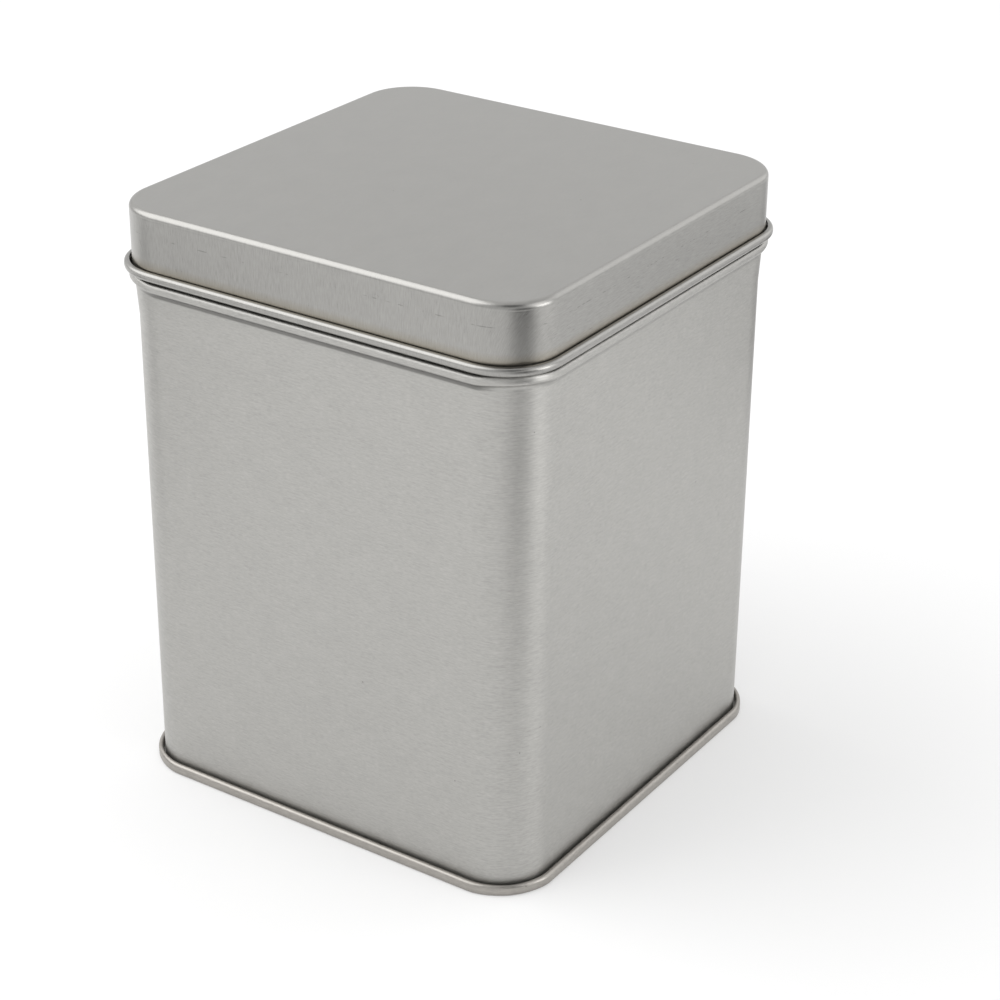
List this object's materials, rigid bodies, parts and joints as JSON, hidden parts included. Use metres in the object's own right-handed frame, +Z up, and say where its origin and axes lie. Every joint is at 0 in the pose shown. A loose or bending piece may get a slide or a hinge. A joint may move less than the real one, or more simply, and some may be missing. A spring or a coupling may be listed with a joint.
{
  "type": "square storage tin",
  "caption": "Square tinplate storage tin with rounded corners, a slip lid with a rolled edge, a shoulder bead and a seamed base.",
  "frame": {"origin": "middle of the base, on the surface that the tin stands on", "axes": "+Z up towards the lid, X and Y square to the flat walls, with the side seam on the +Y wall"},
  "size_m": [0.1048, 0.1048, 0.132],
  "materials": {
    "body_tinplate": "brushed tinplate, fine level grain round the walls",
    "lid_tinplate": "brushed tinplate, fine straight grain along one side",
    "base_tinplate": "tinplate, folded seam"
  },
  "bodies": {
    "root": {"tin_body": "body_tinplate", "tin_lid": "lid_tinplate", "base_end": "base_tinplate"}
  },
  "joints": []
}
